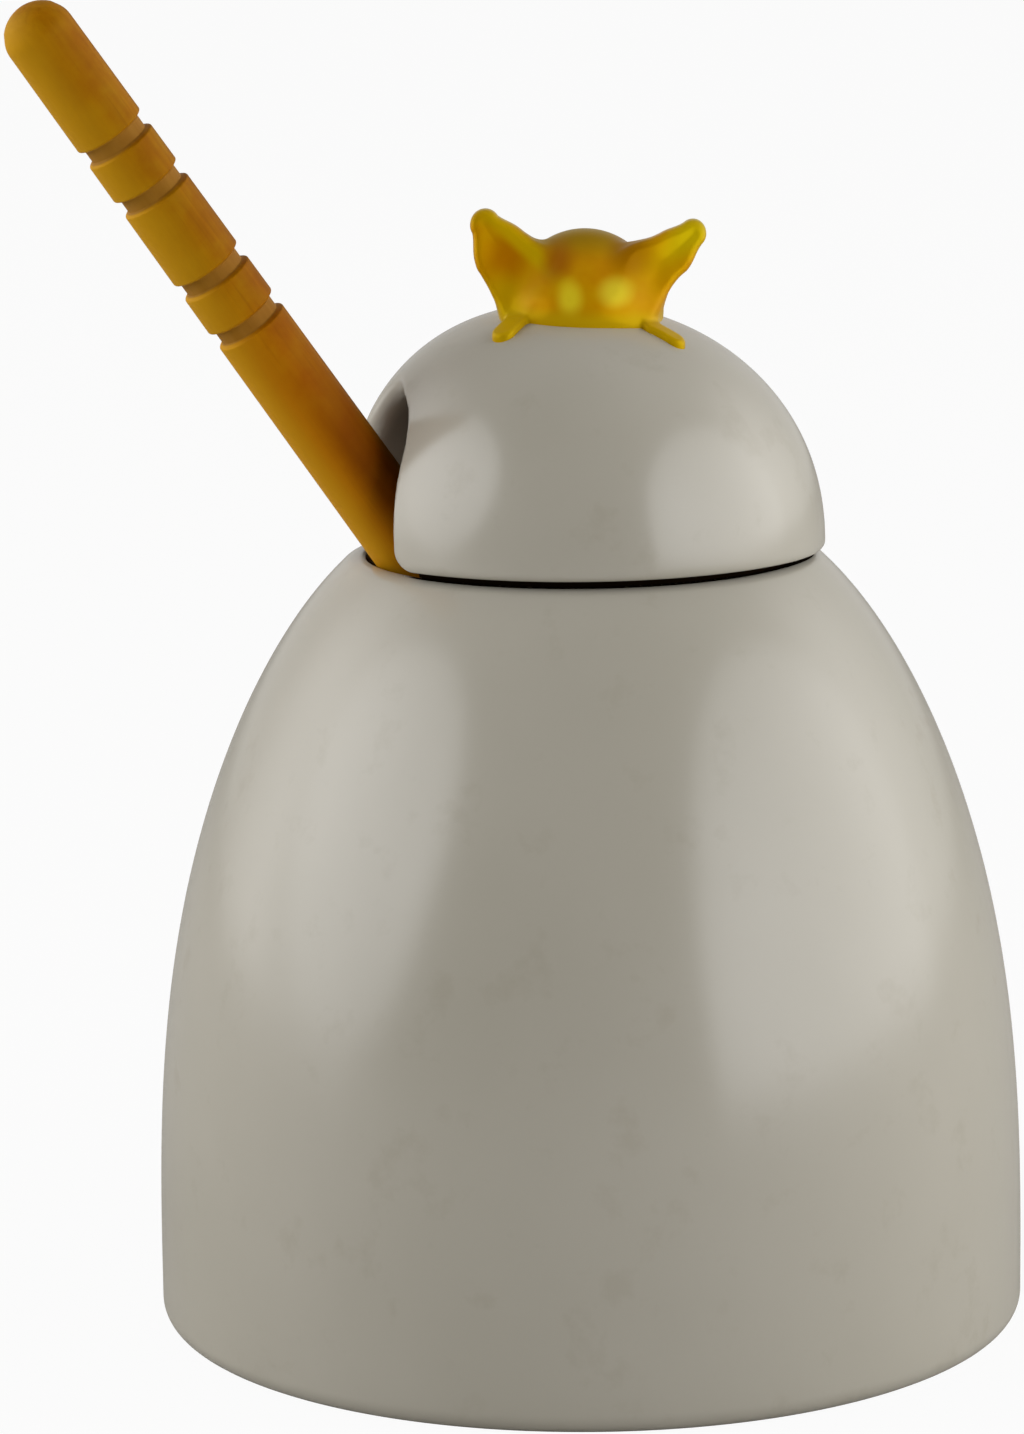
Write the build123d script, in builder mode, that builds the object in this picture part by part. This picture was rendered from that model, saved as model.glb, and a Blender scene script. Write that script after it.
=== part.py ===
from build123d import *
import os
from math import acos, atan2, cos, degrees, hypot, radians, sin, sqrt, tan

# Honey pot: a skep-shaped glazed jar, its lift-off domed lid with a bee on top, and a turned
# wooden dipper that leans out through the notch in the lid.
# Millimetres, +Z up, origin on the jar's axis at the table. The front of the jar faces -Y.

# ---- jar ----
pot_radius = 52.2          # outside, at the foot
pot_height = 92.8          # table to the crest of the rim
pot_skirt = 6.4            # height of the upright wall above the table
pot_flank = 34.8           # how high the wall keeps pulling upright
pot_bulge_radius = 50.8    # where the shoulder pulls outwards
pot_bulge_height = 53.8
pot_neck_run = 13.8        # the shoulder's last stretch, inwards to the rim
pot_neck_pitch = 40.7      # of that stretch, from level
pot_foot_round = 2.6       # rounding round the foot
pot_wall = 4.5
pot_floor = 5.0
pot_corner = 8.0           # rounding inside, between wall and floor
mouth_radius = 25.9        # bore of the mouth
rim_width = 1.8            # mouth to shoulder, at the crest, before the rounding
rim_inner_round = 0.5
rim_outer_round = 2.8      # the shoulder runs over into the crest

# ---- lid ----
lid_radius = 28.7          # at the lower edge, before its rounding
lid_rise = 28.75           # lower edge to crown
lid_fullness = 2.17        # 2 would be a plain ellipse; more is fuller in the shoulder
lid_sway = 2.0             # the crown stands this far off the axis, towards -X
lid_sway_power = 2.2       # the shift grows with this power of the height
dome_sections = 7
dome_last_angle = 83.0     # the flat on top, where the bee sits, starts here
lid_wall = 4.2
lid_edge_round = 0.9       # rounding of the lower edge, outside
lid_seam = 0.85            # lowest point of that rounded edge above the rim's crest
seat_radius = 27.0         # outside of the band that stands on the rim, behind that edge
seat_rise = 1.7            # its height
flange_clearance = 0.6     # between the locating flange and the mouth
flange_depth = 4.0         # how far the flange reaches into the mouth
flange_wall = 2.5
notch_heading = 20.0       # degrees from -X towards the front
notch_arch_radius = 7.8    # round top of the notch
notch_arch_height = 12.2   # centre of the round top above the rim's crest
notch_near_foot = 9.7      # the notch's middle line to its front side, at the rim
notch_far_foot = 19.0      # and to its back side, which slants more
notch_foot_round = 2.5      # where the notch runs out into the lower edge
notch_inner_round = 1.2    # edge of the notch inside; outside it has the lower edge's rounding

# ---- bee, moulded on the crown ----
bee_offset = 0.6           # from the lid's axis, towards +X
bee_lift = 0.6             # centre line of the body above the crown
thorax_radius = 8.0
thorax_back = 2.5          # centre behind the lid's axis
abdomen_length = 11.5      # thorax centre to tail
head_radius = 6.0
head_front = 4.2           # centre in front of the lid's axis
waist_round = 2.5          # softening between head and thorax
wing_thick = 3.0
wing_edge_round = 1.2
wing_root_radius = 3.5
wing_mid_radius = 3.0
wing_tip_radius = 2.1
wing_mid_reach = 5.6       # root to the centre of the broad middle
wing_left_reach = 10.3     # root to the centre of the round tip
wing_right_reach = 9.1
wing_left_root = 6.2       # root from the bee's centre line
wing_right_root = 5.9
wing_root_front = 1.5      # root in front of the lid's axis
wing_left_lift = 0.5       # root above the crown
wing_right_lift = 1.2
wing_left_lean = 31.5      # from upright, outwards
wing_right_lean = 43.0
wing_left_twist = 6.0      # about its own length, outer edge forwards
wing_right_twist = 48.0
leg_width = 2.2
leg_height = 1.3           # above the dome's surface
leg_length = 6.2           # between the centres of its round ends
leg_left_out = 6.0         # inner end, from the bee's centre line
leg_left_front = 6.2       # and in front of the lid's axis
leg_left_splay = 38.0      # from straight ahead, outwards
leg_right_out = 4.5
leg_right_front = 6.1
leg_right_splay = 64.0

# ---- dipper ----
dipper_length = 183.1
handle_radius = 4.6        # from the mouth down to the head
handle_top_radius = 4.2    # at the free end
handle_taper_length = 75.0
handle_end_rise = 3.0      # height of the domed free end
handle_end_soften = 0.9
groove_places = [18.4, 25.5, 37.5, 44.5]   # centres, from the free end
groove_width = 2.3
groove_bottom_width = 1.5
groove_depth = 0.65
barrel_radius = 10.5
barrel_end_round = 5.0
barrel_shoulder_round = 2.5
barrel_length = 34.0
collar_radius = 6.2        # between the barrel and the handle
collar_length = 4.0
collar_round = 1.5
slot_count = 6
slot_width = 2.4
slot_pitch = 4.6
slot_first = 6.6           # centre of the lowest slot above the end
slot_depth = 4.0
spigot_radius = 3.2
spigot_length = 22.0
spigot_clearance = 0.02    # glue line round the spigot
rest_gap = 0.2             # dipper to the rim and to the floor
barrel_wall_gap = 2.6      # dipper's head to the jar's wall

# ---- sizes that follow ----
rim_radius = mouth_radius + rim_width
edge_height = pot_height + lid_seam
crown_height = edge_height + lid_rise
inside_radius = pot_radius - pot_wall
quarter = 4 / 3 * (sqrt(2) - 1)    # length of a Bezier handle that draws a quarter ellipse of size 1

os.makedirs("parts", exist_ok=True)


def corner(sketch, x, y):
    """The sketch's vertex nearest to a place in its own plane."""
    return sketch.vertices().sort_by_distance((x, y))[0]


# ---- jar: one revolved wall, hollow, with the mouth bored through the rim ----
neck_drop = pot_neck_run * tan(radians(pot_neck_pitch))
neck_in = pot_wall * sin(radians(pot_neck_pitch))
neck_down = pot_wall * cos(radians(pot_neck_pitch))
bulge_drop = pot_wall * tan(radians(pot_neck_pitch) / 2)
cavity_foot = pot_floor + pot_corner

with BuildPart() as pot:
    with BuildSketch(Plane.XZ) as pot_section:
        with BuildLine():
            Bezier(
                (pot_radius, pot_skirt),
                (pot_radius, pot_flank),
                (pot_bulge_radius, pot_bulge_height),
                (rim_radius + pot_neck_run, pot_height - neck_drop),
                (rim_radius, pot_height),
            )
            Polyline(
                (rim_radius, pot_height),
                (0, pot_height),
                (0, 0),
                (pot_radius, 0),
                (pot_radius, pot_skirt),
            )
        make_face()
        with BuildLine():
            vault_line = Bezier(
                (inside_radius, cavity_foot),
                (inside_radius, pot_flank),
                (pot_bulge_radius - pot_wall, pot_bulge_height - bulge_drop),
                (rim_radius + pot_neck_run - neck_in, pot_height - neck_drop - neck_down),
                (rim_radius - neck_in, pot_height - neck_down),
            )
            Polyline(
                vault_line @ 1,
                (0, pot_height - neck_down),
                (0, pot_floor),
                (inside_radius - pot_corner, pot_floor),
            )
            RadiusArc((inside_radius - pot_corner, pot_floor), (inside_radius, cavity_foot), -pot_corner)
        make_face(mode=Mode.SUBTRACT)
        with Locations((0, pot_height)):
            Rectangle(2 * mouth_radius, 4 * neck_down, mode=Mode.SUBTRACT)
        fillet(corner(pot_section, pot_radius, 0), pot_foot_round)
        fillet(corner(pot_section, rim_radius, pot_height), rim_outer_round)
        fillet(corner(pot_section, mouth_radius, pot_height), rim_inner_round)
    revolve(axis=Axis.Z)
pot.part.label = "pot"

# ---- lid: domed shell with a seat on the rim, a flange in the mouth and the dipper's notch ----
flange_radius = mouth_radius - flange_clearance
flange_inside = flange_radius - flange_wall
vault_radius = lid_radius - lid_wall
notch_out = Vector(-cos(radians(notch_heading)), -sin(radians(notch_heading)), 0)
notch_plane = Plane(origin=(0, 0, pot_height), x_dir=(-notch_out.Y, notch_out.X, 0), z_dir=notch_out)
notch_foot_width = notch_near_foot + notch_far_foot
notch_foot_middle = (notch_near_foot - notch_far_foot) / 2


def dome_solid(thickness):
    """A tool: the solid under the dome's outside, grown by a thickness."""
    with BuildPart() as block:
        for step in range(dome_sections):
            climb = sin(radians(dome_last_angle * step / (dome_sections - 1)))
            level = edge_height + (lid_rise + thickness) * climb
            with BuildSketch(Plane(origin=(-lid_sway * climb ** lid_sway_power, 0, level))):
                Circle((lid_radius + thickness) * (1 - climb ** lid_fullness) ** (1 / lid_fullness))
        loft()
    return block.part


under_dome = dome_solid(0)

def below_crown(edge):
    """Leaves out the seam of a revolved dome, the one edge that reaches the crown."""
    return max((edge @ 0).Z, (edge @ 1).Z) < crown_height - 2 * lid_wall


with BuildPart() as seat_ring:
    with BuildSketch(Plane.XZ):
        Polygon(
            (flange_inside, pot_height - flange_depth),
            (flange_radius, pot_height - flange_depth),
            (flange_radius, pot_height),
            (seat_radius, pot_height),
            (seat_radius, pot_height + seat_rise),
            (vault_radius, pot_height + seat_rise),
            (flange_inside, pot_height),
            align=None,
        )
    revolve(axis=Axis.Z)
    with BuildSketch(notch_plane):
        with Locations((notch_foot_middle, 0)):
            Rectangle(notch_foot_width + 2 * lid_edge_round, 4 * flange_depth)
    extrude(amount=2 * lid_radius, mode=Mode.SUBTRACT)

with BuildPart() as lid:
    add(under_dome)
    add(dome_solid(-lid_wall), mode=Mode.SUBTRACT)
    with BuildSketch(notch_plane):
        with Locations((0, notch_arch_height)):
            Circle(notch_arch_radius)
        with Locations((notch_foot_middle, -flange_depth)):
            Rectangle(notch_foot_width, 2 * flange_depth)
        make_hull()
    extrude(amount=2 * lid_radius, mode=Mode.SUBTRACT)
    foot_edges = lid.faces().filter_by(Plane.XY).sort_by(Axis.Z)[0].edges().filter_by(GeomType.LINE)
    fillet(foot_edges, notch_foot_round)
    dome_face = lid.faces().sort_by(SortBy.AREA)[-1]
    fillet(dome_face.edges().filter_by(below_crown), lid_edge_round)
    vault_face = lid.faces().sort_by(SortBy.AREA)[-2]
    inside_edges = vault_face.edges().filter_by(below_crown)
    fillet(inside_edges.filter_by_position(Axis.Z, edge_height + lid_seam, crown_height), notch_inner_round)
    add(seat_ring.part)
lid.part.label = "lid"

# ---- bee: head, thorax and abdomen turned about one line, then seated on the dome ----
bee_centre = Vector(bee_offset, 0, crown_height + bee_lift)
bee_section = Plane(origin=bee_centre, x_dir=(0, 1, 0), z_dir=(1, 0, 0))
head_to_thorax = head_front + thorax_back
waist_x = (head_to_thorax ** 2 + head_radius ** 2 - thorax_radius ** 2) / (2 * head_to_thorax)
waist_y = sqrt(head_radius ** 2 - waist_x ** 2)
head_angle = degrees(atan2(waist_y, waist_x))
thorax_angle = degrees(atan2(waist_y, waist_x - head_to_thorax))

with BuildPart() as bee_body:
    with BuildSketch(bee_section) as body_section:
        with BuildLine():
            nose_line = CenterArc((-head_front, 0), head_radius, 180, head_angle - 180)
            CenterArc((thorax_back, 0), thorax_radius, thorax_angle, 90 - thorax_angle)
            tail_line = Bezier(
                (thorax_back, thorax_radius),
                (thorax_back + quarter * abdomen_length, thorax_radius),
                (thorax_back + abdomen_length, quarter * thorax_radius),
                (thorax_back + abdomen_length, 0),
            )
            Line(nose_line @ 0, tail_line @ 1)
        make_face()
        fillet(corner(body_section, waist_x - head_front, waist_y), waist_round)
    revolve(axis=Axis(bee_centre, (0, 1, 0)))
    add(under_dome, mode=Mode.SUBTRACT)
bee_body.part.label = "bee_body"


def wing(side, root_out, lift, lean_degrees, twist_degrees, reach):
    """One raised wing: a rounded petal that leans outwards, cut to sit on the body and the dome."""
    lean_out = radians(lean_degrees)
    twist = radians(twist_degrees)
    along = Vector(side * sin(lean_out), 0, cos(lean_out))
    flat_across = Vector(side * cos(lean_out), 0, -sin(lean_out))
    across = flat_across * cos(twist) + Vector(0, -1, 0) * sin(twist)
    root = Vector(bee_offset + side * root_out, -wing_root_front, crown_height + lift)
    with BuildPart() as petal:
        with BuildSketch(Plane(origin=root, x_dir=across, z_dir=across.cross(along))):
            Circle(wing_root_radius)
            with Locations((0, wing_mid_reach)):
                Circle(wing_mid_radius)
            with Locations((0, reach)):
                Circle(wing_tip_radius)
            make_hull()
        extrude(amount=wing_thick / 2, both=True)
        fillet(petal.edges(), wing_edge_round)
        add(bee_body.part, mode=Mode.SUBTRACT)
        add(under_dome, mode=Mode.SUBTRACT)
    return petal


bee_wing_left = wing(-1, wing_left_root, wing_left_lift, wing_left_lean, wing_left_twist, wing_left_reach)
bee_wing_right = wing(1, wing_right_root, wing_right_lift, wing_right_lean, wing_right_twist, wing_right_reach)
bee_wing_left.part.label = "bee_wing_left"
bee_wing_right.part.label = "bee_wing_right"


def leg(side, out, front, splay, wing_part):
    """One front leg: a round-ended strip that lies on the dome, cut to meet the body and the wing."""
    heading = radians(splay)
    middle_x = bee_offset + side * (out + leg_length / 2 * sin(heading))
    middle_y = -front - leg_length / 2 * cos(heading)
    with BuildPart() as strip:
        add(dome_solid(leg_height))
        with BuildSketch(Plane.XY.offset(edge_height)):
            with Locations(Location((middle_x, middle_y), side * (splay - 90))):
                SlotCenterToCenter(leg_length, leg_width)
        extrude(amount=2 * lid_rise, mode=Mode.INTERSECT)
        add(under_dome, mode=Mode.SUBTRACT)
        add(bee_body.part, mode=Mode.SUBTRACT)
        add(wing_part, mode=Mode.SUBTRACT)
    return strip


bee_leg_left = leg(-1, leg_left_out, leg_left_front, leg_left_splay, bee_wing_left.part)
bee_leg_right = leg(1, leg_right_out, leg_right_front, leg_right_splay, bee_wing_right.part)
bee_leg_left.part.label = "bee_leg_left"
bee_leg_right.part.label = "bee_leg_right"

# ---- dipper: it stands in the far corner of the jar and leans on the rim, in the notch ----
# The lean is where the handle touches the rim's rounding while the head's rounded end touches
# the floor and clears the wall; each turn of the loop brings the three closer together.
rest_r = mouth_radius + rim_inner_round
rest_z = pot_height - rim_inner_round
stand_off = rim_inner_round + rest_gap + handle_radius
end_core = barrel_radius - barrel_end_round
lean = atan2(pot_radius, pot_height)
for _ in range(40):
    foot_r = barrel_wall_gap - inside_radius + barrel_end_round * (1 - sin(lean)) + end_core * cos(lean)
    foot_z = pot_floor + rest_gap + barrel_end_round * (1 - cos(lean)) + end_core * sin(lean)
    lean = acos(stand_off / hypot(rest_r - foot_r, rest_z - foot_z)) - atan2(rest_z - foot_z, rest_r - foot_r)
dipper_axis = notch_out * sin(lean) + Vector(0, 0, cos(lean))
dipper_side = notch_out * cos(lean) - Vector(0, 0, sin(lean))
dipper_foot = notch_out * foot_r + Vector(0, 0, foot_z)
dipper_section = Plane(origin=dipper_foot, x_dir=dipper_side, z_dir=dipper_side.cross(dipper_axis))
head_length = barrel_length + collar_length
spigot_end = head_length - spigot_length

with BuildPart() as dipper_handle:
    with BuildSketch(dipper_section) as handle_section:
        with BuildLine():
            crest = TangentArc(
                (0, dipper_length), (handle_top_radius, dipper_length - handle_end_rise), tangent=(1, 0)
            )
            Polyline(
                crest @ 1,
                (handle_radius, dipper_length - handle_taper_length),
                (handle_radius, head_length),
                (spigot_radius, head_length),
                (spigot_radius, spigot_end),
                (0, spigot_end),
                crest @ 0,
            )
        make_face()
        fillet(corner(handle_section, handle_top_radius, dipper_length - handle_end_rise), handle_end_soften)
        taper = (handle_radius - handle_top_radius) / (handle_taper_length - handle_end_rise)
        for place in groove_places:
            surface = handle_top_radius + taper * (place - handle_end_rise)
            floor = surface - groove_depth
            clear = surface + groove_depth
            level = dipper_length - place
            Polygon(
                (floor, level - groove_bottom_width / 2),
                (surface, level - groove_width / 2),
                (clear, level - groove_width / 2),
                (clear, level + groove_width / 2),
                (surface, level + groove_width / 2),
                (floor, level + groove_bottom_width / 2),
                align=None,
                mode=Mode.SUBTRACT,
            )
    revolve(axis=Axis(dipper_foot, dipper_axis))
dipper_handle.part.label = "dipper_handle"

with BuildPart() as dipper_head:
    with BuildSketch(dipper_section) as head_section:
        with BuildLine():
            Polyline(
                (0, 0),
                (barrel_radius, 0),
                (barrel_radius, barrel_length),
                (collar_radius, barrel_length),
                (collar_radius, head_length),
                (spigot_radius + spigot_clearance, head_length),
                (spigot_radius + spigot_clearance, spigot_end - rest_gap),
                (0, spigot_end - rest_gap),
                close=True,
            )
        make_face()
        fillet(corner(head_section, barrel_radius, 0), barrel_end_round)
        fillet(corner(head_section, barrel_radius, barrel_length), barrel_shoulder_round)
        fillet(corner(head_section, collar_radius, head_length), collar_round)
        for slot in range(slot_count):
            with Locations((barrel_radius, slot_first + slot * slot_pitch)):
                Rectangle(2 * slot_depth, slot_width, mode=Mode.SUBTRACT)
    revolve(axis=Axis(dipper_foot, dipper_axis))
dipper_head.part.label = "dipper_head"

export_step(pot.part, "parts/pot.step")
export_step(lid.part, "parts/lid.step")
export_step(bee_body.part, "parts/bee_body.step")
export_step(bee_wing_left.part, "parts/bee_wing_left.step")
export_step(bee_wing_right.part, "parts/bee_wing_right.step")
export_step(bee_leg_left.part, "parts/bee_leg_left.step")
export_step(bee_leg_right.part, "parts/bee_leg_right.step")
export_step(dipper_handle.part, "parts/dipper_handle.step")
export_step(dipper_head.part, "parts/dipper_head.step")
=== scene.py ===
from math import acos, asin, atan2, cos, degrees, hypot, pi, radians, sin, tan

import bpy
import numpy as np
from mathutils import Matrix, Vector


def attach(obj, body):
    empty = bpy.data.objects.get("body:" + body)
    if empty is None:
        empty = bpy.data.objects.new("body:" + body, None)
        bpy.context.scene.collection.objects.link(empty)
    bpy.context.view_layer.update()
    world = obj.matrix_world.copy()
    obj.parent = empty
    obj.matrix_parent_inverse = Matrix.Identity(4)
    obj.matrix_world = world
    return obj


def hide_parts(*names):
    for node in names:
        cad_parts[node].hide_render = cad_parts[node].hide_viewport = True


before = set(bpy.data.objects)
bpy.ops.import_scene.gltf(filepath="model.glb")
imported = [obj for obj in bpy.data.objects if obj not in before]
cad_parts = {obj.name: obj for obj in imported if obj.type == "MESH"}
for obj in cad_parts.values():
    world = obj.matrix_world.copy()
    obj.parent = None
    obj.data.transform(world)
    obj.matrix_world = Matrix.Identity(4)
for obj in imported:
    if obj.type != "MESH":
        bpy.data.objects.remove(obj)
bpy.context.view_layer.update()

# Honey pot: a glazed jar, its lift-off domed lid with a bee on top, and a turned wooden dipper.
# +Z is up, the origin is on the jar's axis at the table, and the front of the jar faces -Y.
# Sizes are in millimetres. Blender's own units are metres, so they are multiplied by MM there.
MM = 0.001

# ---------------------------------------------------------------- jar, as in the CAD
POT_RADIUS = 52.2           # outside, at the foot
POT_HEIGHT = 92.8           # table to the crest of the rim
POT_SKIRT = 6.4             # height of the upright wall above the table
POT_FLANK = 34.8            # how high the wall keeps pulling upright
BULGE_RADIUS = 50.8         # where the shoulder pulls outwards
BULGE_HEIGHT = 53.8
NECK_RUN = 13.8             # the shoulder's last stretch, inwards to the rim
NECK_PITCH = radians(40.7)  # of that stretch, from level
FOOT_ROUND = 2.6            # rounding round the foot
POT_WALL = 4.5
POT_FLOOR = 5.0
POT_CORNER = 8.0            # rounding inside, between wall and floor
INSIDE_RADIUS = POT_RADIUS - POT_WALL
MOUTH_RADIUS = 25.9
MOUTH_ROUND = 0.5
RIM_RADIUS = 27.7           # where the shoulder meets the crest, before its rounding
RIM_ROUND = 2.8
# Only in the scene
FOOT_RING = 9.2             # width of the ring that the jar stands on
FOOT_RECESS = 0.9           # the underside above the table, inside that ring

# ---------------------------------------------------------------- lid, as in the CAD
LID_RADIUS = 28.7           # at the lower edge, before its rounding
LID_RISE = 28.75            # lower edge to crown
LID_FULLNESS = 2.17         # 2 would be a plain ellipse; more is fuller in the shoulder
LID_SWAY = 2.0              # the crown stands this far off the axis, towards -X
LID_SWAY_POWER = 2.2        # the shift grows with this power of the height
LID_WALL = 4.2
LID_ROUND = 0.9             # rounding of the lower edge
LID_SEAM = 0.85             # that edge above the rim's crest
EDGE_HEIGHT = POT_HEIGHT + LID_SEAM
FLANGE_RADIUS = 25.3        # of the flange that reaches into the mouth
FLANGE_INSIDE = 22.8
FLANGE_FOOT = 88.8
NOTCH_HEADING = radians(20.0)   # from -X towards the front
NOTCH_ARCH = 7.8            # round top of the notch
NOTCH_ARCH_UP = 12.2        # centre of the round top above the rim's crest
NOTCH_NEAR_FOOT = 9.7       # the notch's middle line to its front side, at the rim
NOTCH_FAR_FOOT = 19.0       # and to its back side, which slants more
NOTCH_RUN_OUT = 2.5         # rounding where the notch runs out into the lower edge
# Only in the scene
EDGE_SINK = 0.4             # the lower edge is this much lower behind the axis
EDGE_SINK_FROM = -26.0      # and starts to come down here, in front of it
FAR_EDGE_SOFTER = 2.3       # more rounding on the notch's far edge
FAR_EDGE_SIDE = (-3, 5)     # it comes in between these distances past the notch's middle line
FAR_EDGE_UP = (96, 102)     # and these heights
NOTCH_WALL_MORE = 2.6       # thicker wall round the notch, inside
NOTCH_WALL_REACH = 9.0      # as far as this from it
NOTCH_WALL_FADE = 7.0       # going over to the plain wall in the last stretch
NOTCH_WALL_UP = (95, 99)    # it comes in between these heights
SEAT_RADIUS = 26.7          # of the band that stands on the rim, 0.3 less than in the CAD
SEAT_SLOPE_UP = 1.4         # where its sloped inside starts above the rim
RING_TOP = 95.2             # flange and seat end here, inside the lid's wall
RING_SETBACK = 0.9          # flange and seat stop this far from the notch
VAULT_ROUND = 1.0           # roundings and fillets inside the lid
FLANGE_ROUND = 0.8
SEAT_ROUND = 0.2
RING_END_ROUND = 0.5
RING_FILLET = 0.4

NOTCH_OUT = np.array([-cos(NOTCH_HEADING), -sin(NOTCH_HEADING)])
NOTCH_SIDE = np.array([-NOTCH_OUT[1], NOTCH_OUT[0]])

# ---------------------------------------------------------------- bee
# Ellipsoids are a centre and radii.
THORAX = (0.4, 1.4, 121.7), (9.0, 9.0, 9.4)
ABDOMEN = (0.6, 9.0, 120.2), (6.4, 6.8, 6.4)
FACE = (-0.1, -2.2, 121.6), (9.2, 8.6, 6.2)
# Wings are circles (x, z, radius) from tip to root, a point of the wing's plane, how far that
# plane goes back for each millimetre to the right and upwards, and the thickness, the width of
# the rim's slope and the depth of the dish in front.
WING_THICK = 3.0
LEFT_WING = (
    [(-11.2, 132.0, 1.75), (-9.2, 128.8, 3.2), (-7.4, 126.7, 3.65), (-5.9, 122.4, 3.5)],
    (-9.0, -2.0, 130.0), 0.14, 0.42, WING_THICK, 3.4, 0.35)
RIGHT_WING = (
    [(13.2, 130.5, 1.6), (10.7, 128.4, 2.4), (7.8, 126.6, 3.2), (6.0, 123.0, 2.9)],
    (10.5, -1.6, 128.2), 0.30, 0.45, WING_THICK, 2.8, 0.3)
# Legs are circles (x, y, radius) from the body outwards.
LEFT_LEG = [(-6.8, -6.8, 1.35), (-9.0, -10.6, 1.4)]
RIGHT_LEG = [(7.6, -5.6, 1.3), (8.4, -7.9, 1.2), (10.9, -9.2, 1.15)]
LEG_HEIGHT = 0.8            # above the dome
BEE_SINK = 0.35             # the figure ends this far under the dome's surface
# Fillets where the glaze runs from part to part, and roundings
ABDOMEN_FILLET = 3.0
FACE_FILLET = 2.5
WING_FILLET = 2.2
LEG_FILLET = 0.6
WING_ROUND = 0.9
WING_OUTLINE_FILLET = 1.0
LEG_ROUND = 0.35
LEG_OUTLINE_FILLET = 0.3
BEE_FOOT_ROUND = 0.1

# ---------------------------------------------------------------- dipper, as in the CAD
DIPPER_LENGTH = 183.1
HANDLE_RADIUS = 4.6         # from the mouth down to the head
HANDLE_TOP_RADIUS = 4.2     # at the free end
HANDLE_TAPER = 75.0         # length of the tapered part, from the free end
HANDLE_END_RISE = 3.0       # height of the domed free end
GROOVES = (18.4, 25.5, 37.5, 44.5)      # centres, from the free end
GROOVE_WIDTH = 2.3
GROOVE_FLOOR = 1.5          # width at the bottom
GROOVE_DEPTH = 0.65
BARREL_RADIUS = 10.5
BARREL_LENGTH = 34.0
BARREL_END_ROUND = 5.0
BARREL_SHOULDER = 2.5       # rounding of the barrel's upper end
COLLAR_RADIUS = 6.2         # between the barrel and the handle
COLLAR_LENGTH = 4.0
COLLAR_ROUND = 1.5
SLOT_COUNT = 6
SLOT_WIDTH = 2.4
SLOT_PITCH = 4.6
SLOT_FIRST = 6.6            # centre of the lowest slot above the end
SLOT_DEPTH = 4.0
SPIGOT_RADIUS = 3.2         # the handle's hidden end, in the head
SPIGOT_LENGTH = 22.0
SPIGOT_CLEARANCE = 0.02
REST_GAP = 0.2              # dipper to the rim and to the floor
BARREL_WALL_GAP = 2.6       # dipper's head to the jar's wall
HEAD_LENGTH = BARREL_LENGTH + COLLAR_LENGTH
SPIGOT_END = HEAD_LENGTH - SPIGOT_LENGTH

# Only in the scene: small roundings
CAP_SOFTEN = 4.0            # between the stick's side and its domed end
GROOVE_ROUNDS = [0.28, 0.15, 0.12, 0.22]
SLOT_ROUNDS = [0.35, 0.3, 0.3, 0.35]
SPIGOT_END_ROUND = 0.5
HANDLE_FOOT_ROUND = 0.3
TAPER_ROUND = 8.0
COLLAR_FOOT_ROUND = 0.4

# ---------------------------------------------------------------- meshes
JAR_AROUND = 256            # points round the jar
DIPPER_AROUND = 96
WELD = 0.05                 # a curve's points nearer than this to its end are left out
EDGE_RING = 0.3             # extra ring on the jar's underside, this far inside its edge
BORE_RINGS = (1.3, 3.1)     # extra rings in the mouth, below the crest
FLOOR_RING = 20             # radius of an extra ring on the jar's floor
LID_BOX = (-30, -30, 88), (30, 30, 124)
LID_CELL = 0.36
BEE_BOX = (-15, -13, 114), (16.5, 17, 135)
BEE_CELL = 0.2
SLOPE_STEP = 0.02           # a surface's slope is measured over this much each way
SLOPE_LEAST = 0.05          # a smaller square of the slope counts as this
SETTLE_STEPS = 4            # how often a vertex is moved onto its surface

# ---------------------------------------------------------------- camera, fitted to the photograph
PHOTO_HEIGHT = 1434         # pixels
FOCAL_LENGTH = 5276.47      # pixels
SENSOR_HEIGHT = 36          # mm
CAMERA_PLACE = (0, -0.62058, 0.19150)       # metres
YAW, PITCH, ROLL = -0.014181, 0.188960, -0.012918

# ---------------------------------------------------------------- light
# Round lamps: azimuth and elevation in degrees, radius in metres, radiance, the brightest place
# and the reach of its light (see soft_disc)
LAMPS = (
    ("disc_left", -73, 24, 0.49, 2.45, 0.85, 1.3),
    ("glow_left", -98, 18, 0.90, 0.95, 0.50, 0.5),
    ("disc_right", 71, 10, 0.80, 2.5, 0.24, 1.1),
    ("glow_right", 112, 16, 0.70, 0.6, 0.50, 0.5))
LAMPS_AIM = Vector((0, 0, 0.06))            # metres
# Brightness of the room's walls, from behind the camera (0) to behind the jar (1)
WALL_LEVELS = ((0.30, 0.10), (0.52, 0.9), (0.66, 1.25), (0.84, 0.55))
WALL_TINT = (1, 0.985, 0.96)
CEILING_FROM, CEILING_FULL = 0.40, 0.85     # height, as a share of straight up
CEILING_LEVEL = 0.25        # the room's brightness overhead, as a share of what it is below
PAPER = (0.55, 0.54, 0.525, 1)
PAPER_SHARE_WHITE = 0.95    # share of plain white in what the camera sees of the floor
FLOOR_REACH = 3.0           # metres


def srgb(r, g, b):
    """Linear colour of an 8-bit sRGB one."""
    out = []
    for v in (r, g, b):
        c = v / 255
        out.append(c / 12.92 if c <= 0.04045 else ((c + 0.055) / 1.055) ** 2.4)
    return (*out, 1.0)


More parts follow.
